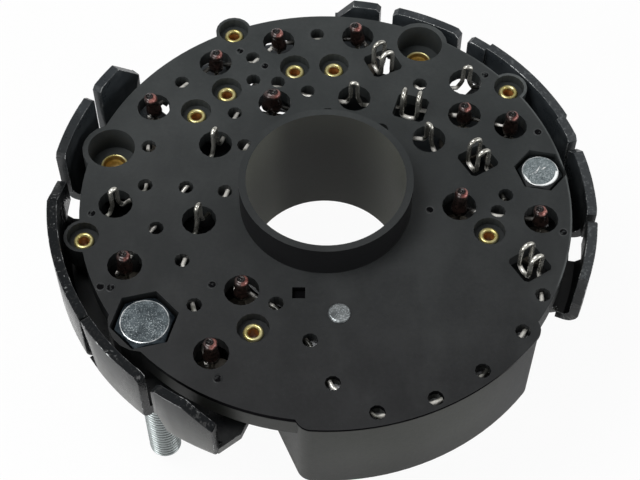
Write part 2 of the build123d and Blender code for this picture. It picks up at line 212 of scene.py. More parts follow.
def bevelled(piece, width, limit):
    weld = piece.modifiers.new("weld", "WELD")
    weld.merge_threshold = 0.01 * mm
    bevel = piece.modifiers.new("bevel", "BEVEL")
    bevel.width = width * mm
    bevel.segments = 2
    bevel.limit_method = limit
    bevel.harden_normals = False
    bevel.use_clamp_overlap = False
    bevel.loop_slide = False
    bevel.miter_outer = "MITER_ARC"
    return bevel


def pieceFrom(name, data, looks, replaced):
    piece = bpy.data.objects.new(name, data)
    bpy.context.scene.collection.objects.link(piece)
    for look in looks:
        data.materials.append(look)
    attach(piece, "root")
    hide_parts(replaced)


def meshFrom(name, bm):
    bmesh.ops.recalc_face_normals(bm, faces=bm.faces[:])
    mesh = bpy.data.meshes.new(name)
    bm.to_mesh(mesh)
    bm.free()
    return mesh


def around(bm, axis, reach, angle, height):
    across = axis[0] + reach * math.cos(angle)
    ahead = axis[1] + reach * math.sin(angle)
    return bm.verts.new((across * mm, ahead * mm, height * mm))


def joinRings(bm, rings, looks, smooth):
    for low, high, look in zip(rings, rings[1:], looks):
        for side in range(len(low)):
            after = (side + 1) % len(low)
            face = bm.faces.new((low[side], low[after], high[after], high[side]))
            face.smooth = smooth
            face.material_index = look


def lathe(bm, profile, looks, axis, sides, wobble, seed):
    rings = []
    for radius, height in profile:
        ring = []
        for side in range(sides):
            angle = 2 * math.pi * side / sides
            uneven = noise.noise(Vector((3 * math.cos(angle), 3 * math.sin(angle), height * 0.8 + seed * 7.1)))
            ring.append(around(bm, axis, radius * (1 + wobble * uneven), angle, height))
        rings.append(ring)
    joinRings(bm, rings, looks, True)
    return rings


# Moulded board with its tube, wells and regulator housing; radii and places in mm
moulding = {
    "boreRadius": 22.5,
    "tubeRadius": 24.85,
    "rimRadius": 68.3,
    "squareRecess": (-7.1, -30.2),
    "blindRadius": 1.0,
    "blindMarks": [
        (-25.8, 54.4), (-18.2, 48.7), (-30.4, -27.8), (-60.4, -28.7), (-27.6, -56.4), (-64.8, -4.8),
        (28.9, -2.8), (61.0, 24.8), (65.5, -9.9), (46.9, 45.9), (-57.6, -29.0)],
    "shadedFrontColours": (rgb(0.0040, 0.0043, 0.0050), rgb(0.0105, 0.0110, 0.0120)),
    "litBackColours": (rgb(0.0260, 0.0300, 0.0305), rgb(0.0400, 0.0445, 0.0445)),
    "grainColour": rgb(0.06, 0.065, 0.062),
    # The bore's colours and its left side carry painted light
    "boreColours": (rgb(0.027, 0.028, 0.024), rgb(0.058, 0.060, 0.051)),
    "litBoreLeft": rgb(0.105, 0.109, 0.094),
    "tubeOutside": rgb(0.0014, 0.0016, 0.0022),
    "pitRimLight": rgb(0.060, 0.064, 0.064),
    "rimHighlight": rgb(0.11, 0.12, 0.12),
    "smearColour": rgb(0.050, 0.053, 0.053),
    "wallLitMiddleColours": (rgb(0.0105, 0.0113, 0.0095), rgb(0.0215, 0.0232, 0.0198)),
    "paintedShadeColour": rgb(0.0045, 0.0045, 0.0050),
}


def mouldingMaterial(board):
    m = Material("moulding", {"Specular IOR Level": 0.30})
    x, y, height = m.split(m.inMm)
    up = m.split(m.facing)[2]
    upright = up.ramp(0.5, 0.2)
    onTop = height.ramp(-0.2, -0.01)
    cloudy = m.noise(60.0, 5.0, 0.6)
    fine = m.noise(900.0, 4.0, 0.65)
    broad = m.noise(14.0, 2.0)
    grain = m.noise(2600.0, 2.0, 0.6)

    # Dusty plastic, with painted shade towards the viewer and painted light towards the back
    dusty = (cloudy * 0.45 + fine * 0.25 + broad * 0.3).ramp(0.40, 0.66)
    front = m.mix(dusty, *board["shadedFrontColours"])
    back = m.mix(dusty, *board["litBackColours"])
    base = m.mix(y.ramp(-85, 75), front, back)
    base = m.mix(grain.ramp(0.66, 0.76) * 0.35, base, board["grainColour"])

    # Centre tube: painted light makes its bore lighter at the sides and lightest on the left, its outside is
    # nearly black
    inside, outside = board["boreRadius"], board["tubeRadius"]
    fromAxis = m.awayFrom((0, 0))
    bore = upright * fromAxis.ramp(inside + 0.3, inside - 0.3)
    litBoreSides = (x * x / 400).ramp(0.1, 1.0) + x.ramp(-10, -20) * 0.6
    base = m.mix(bore, base, m.mix(litBoreSides, *board["boreColours"]))
    collar = upright * fromAxis.ramp(inside + 0.3, inside + 1.0) * fromAxis.ramp(outside + 0.35, outside - 0.35)
    base = m.mix(collar * height.ramp(-0.5, 0.5), base, board["tubeOutside"])
    base = m.mix(bore * x.ramp(-10, -20) * 0.8, base, board["litBoreLeft"])

    # Blind marks, with painted light as a pale ring round each
    radius = board["blindRadius"]
    fromMark = m.nearest(board["blindMarks"])
    mark = fromMark.ramp(1.10 * radius, 0.85 * radius) * onTop
    ring = fromMark.ramp(0.95 * radius, 1.12 * radius) * fromMark.ramp(1.45 * radius, 1.15 * radius) * onTop
    base = m.mix(ring * cloudy.ramp(0.40, 0.60) * 0.5, base, board["pitRimLight"])

    # Painted highlight along the right of the rim, and a faint smear over the top
    rim = board["rimRadius"]
    rightRimHighlight = fromAxis.ramp(rim - 0.5, rim) * onTop * x.ramp(20, 50) * y.ramp(-30, -24)
    base = m.mix(rightRimHighlight * cloudy.ramp(0.35, 0.6, 0.2, 0.6), base, board["rimHighlight"])
    smear = m.noise(26.0, 4.0, 0.6, (1.8, 0.8, 1.0)).ramp(0.48, 0.70) * up.ramp(0.5, 0.9) * height.ramp(1.0, 0.3)
    base = m.mix(smear * onTop * 0.18, base, board["smearColour"])

    # Front wall of the housing, painted lighter in its middle as painted light, and darkened along its lip with
    # painted shade
    frontWall = upright * y.ramp(-45, -60)
    middle = x.ramp(-10, 10) * x.ramp(62, 35) * height.ramp(-30, -16)
    wall = m.mix(middle, *board["wallLitMiddleColours"])
    base = m.mix(frontWall * height.ramp(-0.9, -1.1) * cloudy.ramp(0.2, 0.5, 0.8, 1.0), base, wall)
    lip = frontWall * height.ramp(-1.9, -1.4) * height.ramp(0.3, 0.1)

    square = m.awayFrom(board["squareRecess"]).ramp(2.7, 2.5) * height.ramp(-0.05, -0.15)
    glint = m.noise(700.0, 2.0).ramp(0.52, 0.60)
    # Painted shade without reflection in the blind marks, broken by painted glints, in the square recess and
    # along the lip
    m.cover((mark * (1.0 - glint * 0.8) + square + lip).upToOne(), board["paintedShadeColour"])
    m.set({
        "Base Color": base,
        "Roughness": broad.ramp(0.3, 0.7, 0.38, 0.55) + fine * 0.10,
        "Normal": m.bump(fine * 0.5 + cloudy + grain * 0.3 - mark * 8.0 + ring * 2.0, 0.4, 0.12)})
    return m.data


dress("terminal_board", mouldingMaterial(moulding))
print("board dressed")


# Painted sheet sinks with worn edges; their colours also hold painted light, shade and glints. Sizes and places
# in mm, the crease angle in degrees
heatSinks = {
    "wornWidth": 0.18,
    "creaseAngle": 50,
    "wornAbove": -16.5,     # edges that reach lower stay sharp, as the shortest ones there would spur
    "glintCorners": [(-46.3, -56.9), (-35.0, -64.3)],
    "nearColours": (rgb(0.0075, 0.0083, 0.0090), rgb(0.0165, 0.0180, 0.0185)),
    "litFarColours": (rgb(0.0200, 0.0240, 0.0270), rgb(0.0440, 0.0500, 0.0550)),
    "lowerLitFace": rgb(0.100, 0.102, 0.090),
    "shadedFrontTop": rgb(0.0020, 0.0022, 0.0024),
    "rightTop": rgb(0.034, 0.038, 0.041),
    "rightGrain": rgb(0.130, 0.140, 0.143),
    "topGlintFleck": rgb(0.18, 0.19, 0.19),
    "shadedCutEdge": rgb(0.012, 0.013, 0.014),
    "edgeColoursLitAtBack": (rgb(0.010, 0.011, 0.012), rgb(0.040, 0.045, 0.048)),
    "bareMetalAndGlint": rgb(0.40, 0.41, 0.41),
}


def sinkMaterial(sink):
    m = Material("heatSink", {"Specular IOR Level": 0.34, "Coat Roughness": 0.14})
    cloudy = m.noise(90.0, 4.0, 0.6)
    fine = m.noise(1200.0, 3.0, 0.6)
    coarse = m.noise(520.0, 4.0, 0.7)
    x, y, height = m.split(m.inMm)
    right, ahead, up = m.split(m.facing)
    upright = up.ramp(0.5, 0.2)
    outward = (right * x + ahead * y).ramp(0, 10)
    topEdge = height.ramp(-4, -2)

    # Back fins are painted lighter than the front ones, as painted light
    near = m.mix(cloudy.ramp(0.4, 0.75), *sink["nearColours"])
    far = m.mix(cloudy.ramp(0.4, 0.75), *sink["litFarColours"])
    base = m.mix(y.ramp(0, 40), near, far)
    # Outward faces in front are painted lighter towards the bottom, as painted light from below
    paintedLowerLight = upright * outward * y.ramp(10, -30) * (height + cloudy * 8).ramp(8, -13)
    base = m.mix(paintedLowerLight * 0.39, base, sink["lowerLitFace"])
    # Tops of the front fins are darkened with painted shade
    level = up.ramp(0.5, 0.8) * topEdge
    base = m.mix(level * y.ramp(10, -10) * 0.8, base, sink["shadedFrontTop"])

    # Tops of the right fins are lighter and grainy, the others' get flecks of painted glint
    grain = (coarse * 0.6 + fine * 0.4).ramp(0.50, 0.66)
    rightTop = up.ramp(0.3, 0.7) * x.ramp(35, 60) * topEdge
    base = m.mix(rightTop * 0.8, base, sink["rightTop"])
    base = m.mix(rightTop * grain * 0.65, base, sink["rightGrain"])
    fleck = (fine * 0.6 + cloudy * 0.4).ramp(0.58, 0.64) * level * x.ramp(45, 30)
    base = m.mix(fleck * 0.7, base, sink["topGlintFleck"])

    # Cut edges in front get a matt layer of painted shade, broken by the grain
    shadedCutEdge = up.ramp(0.25, 0.5) * height.ramp(-13.5, -12.0) * y.ramp(15, -5) * x.ramp(50, 35)
    m.cover(shadedCutEdge * (coarse * 0.6 + fine * 0.4).ramp(0.58, 0.51), sink["shadedCutEdge"])
    m.set({
        "Base Color": base,
        "Roughness": cloudy.ramp(0.3, 0.7, 0.22, 0.36) + fine * 0.06,
        "Coat Weight": upright * outward * 0.3,
        "Normal": m.bump(fine + coarse * level * 2.0 + cloudy * 2.0, 0.25, 0.10)})
    return m.data


def wornEdgeAndGlintMaterial(sink):
    m = Material("wornEdgeAndGlint", {"Specular IOR Level": 0.5})
    patch = m.noise(160.0, 4.0, 0.65)
    fine = m.noise(1500.0, 3.0, 0.6)
    # Edges are painted lighter towards the back as painted light; worn patches show bare metal, and two corners
    # get painted glints
    worn = (patch * 0.6 + fine * 0.4).ramp(0.50, 0.62)
    y = m.split(m.inMm)[1]
    base = m.mix(y.ramp(-20, 30), *sink["edgeColoursLitAtBack"])
    cornerGlint = m.nearest(sink["glintCorners"]).ramp(2.6, 1.2) * fine.ramp(0.40, 0.50)
    m.set({
        "Base Color": m.mix((worn + cornerGlint).upToOne(), base, sink["bareMetalAndGlint"]),
        "Metallic": worn * 0.7,
        "Roughness": patch.ramp(0.3, 0.7, 0.16, 0.30)})
    return m.data


# The frame's meshes aren't joined along their creases, so the sharp ones are found on a welded copy
def markCreases(piece, angle, lowest):
    bm = bmesh.new()
    bm.from_mesh(piece.data)
    bmesh.ops.remove_doubles(bm, verts=bm.verts[:], dist=0.01 * mm)

    def key(ends):
        grid = 0.05 * mm
        return frozenset(tuple(round(c / grid) for c in end) for end in ends)

    creases = set()
    for edge in bm.edges:
        if len(edge.link_faces) == 2 and edge.calc_face_angle() > math.radians(angle):
            ends = [vert.co for vert in edge.verts]
            if min(end.z for end in ends) > lowest * mm:
                creases.add(key(ends))
    bm.free()
    weights = piece.data.attributes.new("bevel_weight_edge", "FLOAT", "EDGE")
    corners = piece.data.vertices
    for edge in piece.data.edges:
        ends = [corners[index].co for index in edge.vertices]
        weights.data[edge.index].value = 1.0 if key(ends) in creases else 0.0


sinkLook = sinkMaterial(heatSinks)
edgeLook = wornEdgeAndGlintMaterial(heatSinks)
for name in ("positive_heat_sink", "negative_heat_sink"):
    dress(name, sinkLook)
    nodes[name].data.materials.append(edgeLook)
    markCreases(nodes[name], heatSinks["creaseAngle"], heatSinks["wornAbove"])
    bevelled(nodes[name], heatSinks["wornWidth"], "WEIGHT").material = 1
print("heat sinks dressed and their edges worn")


# Rivet in the housing
rivet = {"edge": 0.25, "angle": 28, "colours": (rgb(0.120, 0.132, 0.136), rgb(0.30, 0.32, 0.325))}

dress("regulator_rivet", zincMaterial("rivetHead", rivet["colours"], 0.30))
bevelled(nodes["regulator_rivet"], rivet["edge"], "ANGLE").angle_limit = math.radians(rivet["angle"])

# Parts that are hidden or hardly seen, by a word in the node's name
hiddenParts = {
    "diode": plainMaterial("diodeCase", (rgb(0.20, 0.18, 0.15), rgb(0.36, 0.33, 0.28)), 0.9, 0.35),
    "washer": zincMaterial("zinc", (rgb(0.15, 0.175, 0.19), rgb(0.45, 0.49, 0.51)), 0.30),
    "plate": plainMaterial("aluminiumSheet", (rgb(0.45, 0.46, 0.47), rgb(0.6, 0.61, 0.62)), 1.0, 0.35),
    "capsule": plainMaterial("resin", (rgb(0.03, 0.028, 0.025), rgb(0.055, 0.05, 0.045)), 0.0, 0.4),
}
hiddenParts["nut"] = hiddenParts["washer"]
hiddenParts["potting"] = hiddenParts["capsule"]
for name in nodes:
    for word, look in hiddenParts.items():
        if word in name:
            dress(name, look)
print("rivet and hidden parts dressed")


# Diode leads, those of the left sink first, and the copper sleeves crimped on them; in mm
diodes = [
    (-50.1, 32.8), (-32.9, 49.7), (-15.0, 34.7), (-54.4, -21.8), (-22.4, -29.5), (-29.7, -49.0),
    (-14.3, 58.1), (9.4, 60.4), (40.1, 30.8), (53.2, 27.0), (37.2, -1.4), (59.7, -5.5)]
sleeves = {
    "tops": [4.9, 4.6, 5.0, 5.3, 5.5, 5.9, 4.8, 5.1, 4.4, 5.4, 7.0, 4.7],
    "leans": [-0.8, 0.5, 0.0, 0.1, 0.15, 0.0, -0.6, -0.9, -0.1, 0.1, 0.2, -0.8],
    "splayed": 2,           # this one is squeezed out to the left
    "pitShift": (-0.42, 0.10),
    "sides": 40,
    "wobble": 0.07,
    "litColours": (rgb(0.22, 0.050, 0.042), rgb(0.54, 0.23, 0.19)),
    "darkColours": (rgb(0.0080, 0.0050, 0.0042), rgb(0.022, 0.0105, 0.0085)),
    "pitShadeColours": (rgb(0.0020, 0.0015, 0.0015), rgb(0.014, 0.007, 0.006)),
}


def copperMaterial(sleeve):
    m = Material("copper", {"Metallic": 0.45, "Coat Weight": 0.5, "Coat Roughness": 0.12})
    right, ahead, up = m.split(m.facing)
    crown = up.ramp(0.18, 0.65)
    lit = (right * 0.9 - ahead * 0.2).ramp(-0.10, 0.50)
    patch = m.noise(1100.0, 3.0, 0.6)
    each = m.noise(24.0, 1.0)       # so broad that every sleeve gets its own value
    warm = m.mix(patch.ramp(0.35, 0.7), *sleeve["litColours"])
    dark = m.mix(patch.ramp(0.4, 0.7), *sleeve["darkColours"])
    share = crown * (lit * 0.80 + 0.06) * each.ramp(0.35, 0.6, 0.5, 1.0)
    m.set({
        "Base Color": m.mix(share, dark, warm),
        "Roughness": patch.ramp(0.3, 0.7, 0.24, 0.40),
        "Normal": m.bump(patch, 0.6, 0.12)})
    return m.data


def pitMaterial(sleeve):
    m = Material("crimpPit", {"Metallic": 0.2})
    patch = m.noise(1400.0, 2.0)
    m.set({
        # The crimp pit is painted nearly black as painted shade
        "Base Color": m.mix(patch.ramp(0.4, 0.7), *sleeve["pitShadeColours"]),
        "Roughness": patch.ramp(0.3, 0.7, 0.14, 0.28),
        "Normal": m.bump(patch, 0.7, 0.20)})
    return m.data


def crimpedSleeves(sleeve):
    bm = bmesh.new()
    for number, (axis, top, lean) in enumerate(zip(diodes, sleeve["tops"], sleeve["leans"])):
        skin = [
            (0.70, -1.9), (2.30, -1.9), (2.20, -0.6), (2.00, 0.5), (1.86, 0.35 * top), (1.82, 0.6 * top),
            (1.90, top - 1.70), (1.94, top - 1.30), (1.86, top - 0.85), (1.66, top - 0.46), (1.36, top - 0.18),
            (1.00, top - 0.03)]
        pit = [(0.72, top - 0.02), (0.60, top - 0.35), (0.40, top - 0.62), (0.001, top - 0.66)]
        looks = [0] * (len(skin) - 1) + [1] * len(pit)
        rings = lathe(bm, skin + pit, looks, axis, sleeve["sides"], sleeve["wobble"], number)
        for ring in rings[len(skin):]:
            for vert in ring:
                vert.co.x += sleeve["pitShift"][0] * mm
                vert.co.y += sleeve["pitShift"][1] * mm
        for ring in rings:
            for vert in ring:
                vert.co.x += lean * mm * max(0.0, (vert.co.z / mm + 1.0) / (top + 1.0))
                if number == sleeve["splayed"]:
                    vert.co.x += min(0.0, vert.co.x - axis[0] * mm) * 0.7
    looks = [copperMaterial(sleeve), pitMaterial(sleeve)]
    pieceFrom("crimpedSleeves", meshFrom("crimpedSleeves", bm), looks, "lead_ferrules")


crimpedSleeves(sleeves)
print("crimped sleeves made")


# Brass eyelets with a rolled rim; radii, heights and places in mm. The bore gets painted shade at its mouth and
# again further down
brassColours = (rgb(0.58, 0.50, 0.19), rgb(0.86, 0.79, 0.44))
smallEyelet = {
    "places": [
        (-28.0, 62.3), (-66.6, -12.4), (53.7, 41.4), (-9.4, 48.5), (2.2, 49.2), (-29.2, 39.6), (-37.8, 31.5),
        (45.2, -9.7), (-19.0, -41.2)],
    "inner": 1.5, "outer": 2.8, "roll": 1.3, "tube": 1.95,
    "floor": -3.0, "bottom": -17.4, "mouth": -3.0, "shadeDepths": (-5, -16),
    "boreName": "brassBore", "boreColours": (rgb(0.42, 0.17, 0.040), rgb(0.70, 0.32, 0.09)),
}
mountingEyelet = {
    "places": [(-61.2, 17.8), (27.9, 57.8)],
    "inner": 2.75, "outer": 3.9, "roll": 0.65, "tube": 3.3,
    "floor": -8.5, "bottom": -18.7, "mouth": -9.0, "shadeDepths": (-11, -16),
    "boreName": "goldenBore", "boreColours": (rgb(0.52, 0.33, 0.06), rgb(0.80, 0.57, 0.16)),
}


def brassMaterial():
    m = Material("brass", {"Metallic": 0.75})
    patch = m.noise(300.0, 2.0, 0.5)
    m.set({
        "Base Color": m.mix(patch.ramp(0.35, 0.75), *brassColours),
        "Roughness": patch.ramp(0.3, 0.7, 0.26, 0.34)})
    return m.data


def boreMaterial(eyelet):
    m = Material(eyelet["boreName"], {"Metallic": 0.4})
    patch = m.noise(700.0, 2.0)
    height = m.split(m.inMm)[2]
    warm = m.mix(patch.ramp(0.3, 0.7), *eyelet["boreColours"])
    # Painted shade deeper down the bore, and in a band at its mouth
    base = m.mix(height.ramp(*eyelet["shadeDepths"]), warm, rgb(0.12, 0.045, 0.015))
    mouth = eyelet["mouth"]
    base = m.mix(height.ramp(mouth - 0.3, mouth) * 0.8, base, rgb(0.10, 0.05, 0.015))
    m.set({"Base Color": base, "Roughness": patch.ramp(0.3, 0.7, 0.35, 0.5)})
    return m.data


def rolledEyelets(name, eyelet, node, rimLook):
    inner, outer, tube = eyelet["inner"], eyelet["outer"], eyelet["tube"]
    floor, bottom = eyelet["floor"], eyelet["bottom"]
    half = eyelet["roll"] / 2
    profile = [(tube, bottom), (tube, floor), (outer, floor)]
    for step in range(9):
        angle = math.pi * step / 8
        profile.append((outer - half + half * math.cos(angle), floor + 0.15 + 1.24 * half * math.sin(angle)))
    looks = [0] * (len(profile) - 1) + [1] * 3
    profile += [(inner, floor - 0.6), (inner, bottom), (tube, bottom)]
    bm = bmesh.new()
    for seed, axis in enumerate(eyelet["places"]):
        lathe(bm, profile, looks, axis, 48, 0.003, seed)
    pieceFrom(name, meshFrom(name, bm), [rimLook, boreMaterial(eyelet)], node)


brassLook = brassMaterial()
rolledEyelets("rolledEyelets", smallEyelet, "small_eyelets", brassLook)
rolledEyelets("mountingEyelets", mountingEyelet, "mounting_eyelets", brassLook)
print("eyelets made")


# Output stud and smaller bolt: flats is the size across them, major the thread's outer radius; in mm
outputStud = {
    "place": (-47.9, -39.0), "turn": 14, "flats": 14.29, "seat": -7.0, "crown": -0.8,
    "major": 4.76, "pitch": 1.5875, "end": -73.7,
    "topColours": (rgb(0.055, 0.070, 0.078), rgb(0.155, 0.185, 0.20)),
    "shadedSlopeColours": (rgb(0.012, 0.018, 0.024), rgb(0.060, 0.080, 0.095)),
}
groundBolt = {
    "place": (60.7, 11.2), "turn": -10, "flats": 11.1, "seat": -4.5, "crown": -0.5,
    "major": 3.17, "pitch": 1.27, "end": -26.95,
    "topColours": (rgb(0.120, 0.148, 0.156), rgb(0.31, 0.36, 0.375)),
    "shadedSlopeColours": (rgb(0.004, 0.006, 0.007), rgb(0.024, 0.0255, 0.027)),
    # each scratch: its middle from the axis, angle, half length, half width and strength
    "scratches": [
        ((-0.6, 0.6), 60, 1.7, 0.26, 1.0),
        ((1.0, 1.1), 29, 0.9, 0.30, 1.0),
        ((-2.2, -0.8), 37, 1.1, 0.2, 0.6)],
    "fleckColour": rgb(0.60, 0.66, 0.68),
    "scratchAndHighlightColour": rgb(0.96, 0.98, 0.98),
}


def threadMaterial(name, bolt):
    m = Material(name, {"Metallic": 0.8})
    patch = m.noise(500.0, 3.0, 0.5)
    root = bolt["major"] - 0.45 * bolt["pitch"]
    crest = bolt["major"] - 0.08 * bolt["pitch"]
    # Thread roots get painted shade; the crests are lighter
    raised = m.awayFrom(bolt["place"]).ramp(root, crest)
    m.set({
        "Base Color": m.mix(raised, rgb(0.012, 0.014, 0.015), rgb(0.33, 0.36, 0.36)),
        "Roughness": patch.ramp(0.3, 0.7, 0.22, 0.34)})
    return m.data


def boltSlopeMaterial(bolt):
    m = Material("boltSlope", {"Specular IOR Level": 0.15})
    patch = m.noise(260.0, 3.0, 0.6)
    # The upper slopes get painted shade; the lower ones are lighter, like the board round them
    lower = (m.split(m.inMm)[1] - bolt["place"][1]).ramp(0, -3)
    m.set({"Base Color": m.mix(lower, *bolt["shadedSlopeColours"]), "Roughness": patch.ramp(0.3, 0.7, 0.45, 0.6)})
    return m.data


def boltTopMaterial(bolt):
    m = Material("boltTop", {})
    cloudy = m.noise(320.0, 5.0, 0.7)
    fleck = m.noise(2500.0, 3.0, 0.6)
    base = m.mix((cloudy * 0.5 + fleck * 0.5).ramp(0.36, 0.64), *bolt["topColours"])
    bright = (fleck * 0.75 + m.noise(160.0, 2.0) * 0.25).ramp(0.550, 0.60)
    base = m.mix(bright * 0.55, base, bolt["fleckColour"])

    axisX, axisY = bolt["place"]
    scratched = 0.0
    for (aside, ahead), angle, length, width, share in bolt["scratches"]:
        scratched = m.streak((axisX + aside, axisY + ahead), angle, length, width) * share + scratched
    base = m.mix((scratched * fleck.ramp(0.40, 0.52)).upToOne(), base, bolt["scratchAndHighlightColour"])

    # Painted highlights: bright crescents along the lower left and the lower right of the top
    x, y, height = m.split(m.inMm)
    aside, ahead = x - axisX, y - axisY
    left = (aside * -0.84 - ahead * 0.54).ramp(4.46, 4.56)
    right = m.awayFrom((axisX - 0.75, axisY + 0.42)).ramp(5.02, 5.14) * ahead.ramp(0.6, -0.4)
    crescentHighlight = (left + right).upToOne()
    m.set({
        "Base Color": m.mix(crescentHighlight, base, bolt["scratchAndHighlightColour"]),
        "Roughness": cloudy.ramp(0.3, 0.7, 0.24, 0.38),
        "Metallic": 0.6 - crescentHighlight * 0.5,
        "Normal": m.bump(fleck * 0.5 + cloudy, 0.3, 0.07)})
    return m.data


def hexHead(bm, bolt):
    sides = 96
    seat, crown = bolt["seat"], bolt["crown"]
    flatRadius = bolt["flats"] * 0.454      # the round top
    slope = 0.577                           # 30 degrees
    rings = [[] for ring in range(10)]
    for side in range(sides):
        angle = 2 * math.pi * side / sides
        fromFlat = math.degrees(angle) % 60 - 30
        reach = bolt["flats"] / 2 / math.cos(math.radians(fromFlat))
        edge = crown - slope * (reach - flatRadius)
        profile = [(reach - 0.12, seat), (reach, seat + 0.2)]
        profile += [(reach, seat + (crown - seat) * part) for part in (0.25, 0.5)]
        profile += [(reach, edge - 0.10), (reach - 0.08, edge + 0.02)]
        profile += [(flatRadius + 0.12, crown - 0.07), (flatRadius - 0.12, crown)]
        profile += [(flatRadius * 0.5, crown - 0.03), (0.001, crown - 0.04)]
        for ring, (out, height) in zip(rings, profile):
            ring.append(around(bm, bolt["place"], out, angle + math.radians(bolt["turn"]), height))
    joinRings(bm, rings, [2] * 6 + [1, 0, 0], False)
    bm.faces.new(rings[0]).material_index = 2


def threadedShank(bm, bolt):
    sides = 48
    chamfer = 0.9
    crestFlat = 0.12        # share of half a pitch, at crest and root
    top, bottom, pitch, major = bolt["seat"], bolt["end"], bolt["pitch"], bolt["major"]
    step = pitch / 8
    rings = []
    for row in range(int((top - bottom) / step) + 1):
        height = top - row * step
        ring = []
        for side in range(sides):
            turn = (height / pitch + side / sides) % 1.0
            dip = 1 - abs(2 * turn - 1)
            depth = 0.55 * pitch * min(1.0, max(0.0, (dip - crestFlat) / (1 - 2 * crestFlat)))
            taper = max(0.0, bottom + chamfer - height)
            reach = min(major - depth, major - taper)
            ring.append(around(bm, bolt["place"], reach, 2 * math.pi * side / sides, height))
        rings.append(ring)
    joinRings(bm, rings, [3] * len(rings), True)
    bm.faces.new(rings[-1]).material_index = 3


def threadedPiece(name, bolt, node, top, slope):
    bm = bmesh.new()
    hexHead(bm, bolt)
    threadedShank(bm, bolt)
    looks = [top, rimLook, slope, threadMaterial(name + "Thread", bolt)]
    pieceFrom(name, meshFrom(name, bm), looks, node)


# The chamfer round each head's top is a painted highlight
rimLook = plainMaterial("paintedHighlightRim", (rgb(0.22, 0.25, 0.26), rgb(0.98, 0.99, 0.99)), 0.5, 0.16)
studTop = zincMaterial("studTop", outputStud["topColours"], 0.24)
# The stud's hex slopes are painted dark as painted shade
studSlope = plainMaterial("hexSlope", outputStud["shadedSlopeColours"], 0.5, 0.22)
boltTop = boltTopMaterial(groundBolt)
boltSlope = boltSlopeMaterial(groundBolt)
threadedPiece("threadedStud", outputStud, "output_stud", studTop, studSlope)
threadedPiece("threadedBolt", groundBolt, "ground_bolt", boltTop, boltSlope)
print("stud and bolt made")


# Formed wires: they run under the board, pass the diodes' leads, and stand up as hairpins (pin) or
# as double loops in their wells (twin). A tip's value is a diode's number, a twin's is a well's. In mm
wire = {
    "radius": 0.65,
    "leadRadius": 0.65,
    "clearance": 0.2,
    "level": -2.6,
    "loopTop": 6.7,
    "pinHalf": 1.0,
    "pinFlare": 1.4,
    "pinLean": 0.25,
    "twinLength": 2.25,
    "twinWidth": 1.8,
    "bendDrop": 1.4,
    "twinWells": [((16.7, 50.3), -60), ((24.6, 33.4), -15), ((43.2, 14.6), -60), ((55.6, -20.5), -60)],
    "farSide": [0, 1, 2, 6, 7, 8, 9],       # diodes that are passed on the far side
    "colours": (rgb(0.40, 0.39, 0.35), rgb(0.72, 0.71, 0.65)),
    "depthShadeColour": rgb(0.11, 0.11, 0.092),
    "shadeColour": rgb(0.030, 0.030, 0.026),
    "glintColour": rgb(0.88, 0.86, 0.80),
    "shadeBesideLead": rgb(0.016, 0.015, 0.013),
}
routes = {
    "upper": [
        ("run", (-61.0, -4.2)), ("pin", (-58.5, -1.6)), ("run", (-50.7, 4.9)), ("tip", 0), ("run", (-42.5, 42.3)),
        ("tip", 1), ("run", (-21.9, 51.9)), ("tip", 6), ("run", (-2.8, 61.3)), ("tip", 7), ("twin", 0),
        ("run", (27.5, 42.3)), ("pin", (40.9, 43.2)), ("run", (44.6, 43.5))],
    "middle": [
        ("run", (-56.6, -23.4)), ("tip", 3), ("pin", (-31.6, 19.5)), ("run", (-21.5, 43.3)),
        ("run", (-14.2, 42.6)), ("run", (-5.4, 39.3)), ("pin", (8.2, 36.8)), ("twin", 1), ("tip", 8), ("tip", 9),
        ("twin", 2), ("run", (50.4, 2.5))],
    "inner": [
        ("run", (-30.8, -51.2)), ("tip", 5), ("run", (-38.9, -20.1)), ("pin", (-35.0, -6.8)),
        ("run", (-28.2, 3.1)), ("run", (-23.3, 19.3)), ("tip", 2), ("run", (0.5, 30.9)), ("run", (15.8, 25.4)),
        ("pin", (29.5, 22.0)), ("tip", 10), ("run", (47.9, -3.0)), ("tip", 11), ("run", (62.1, -4.6))],
    "lower": [
        ("run", (-24.6, -27.6)), ("tip", 4), ("run", (-13.1, -33.5)), ("run", (-3.9, -44.8)),
        ("run", (2.1, -57.5)), ("run", (13.5, -65.9)), ("run", (28.6, -61.6)), ("run", (41.1, -53.5)),
        ("run", (52.3, -41.5)), ("run", (58.4, -30.2)), ("twin", 3)],
}
upwards = Vector((0, 0, 1))


def wireMaterial():
    m = Material("tinnedWire", {})
    streak = m.noise(260.0, 2.0, 0.5)
    spot = m.noise(230.0, 1.0, 0.5)
    height = m.split(m.inMm)[2]
    depthShade = (height + streak * 2).ramp(3.0, 0.2)
    low = height.ramp(-0.8, -2.0)
    shadeBesideLead = m.nearest(diodes).ramp(5.5, 4.7)
    base = m.mix(streak.ramp(0.35, 0.7), *wire["colours"])
    # Painted shade darkens the wire with depth and beside the diode leads; low down it gets patches of painted
    # shade and painted glints
    base = m.mix(depthShade * 0.62, base, wire["depthShadeColour"])
    base = m.mix(low * spot.ramp(0.44, 0.38), base, wire["shadeColour"])
    base = m.mix(low * spot.ramp(0.44, 0.53), base, wire["glintColour"])
    base = m.mix(shadeBesideLead * spot.ramp(0.62, 0.52) * 0.92, base, wire["shadeBesideLead"])
    m.set({"Base Color": base, "Roughness": streak.ramp(0.3, 0.7, 0.20, 0.30), "Metallic": 0.9 - low * 0.6})
    return m.data


def flat(place):
    return Vector((place[0], place[1], 0.0))


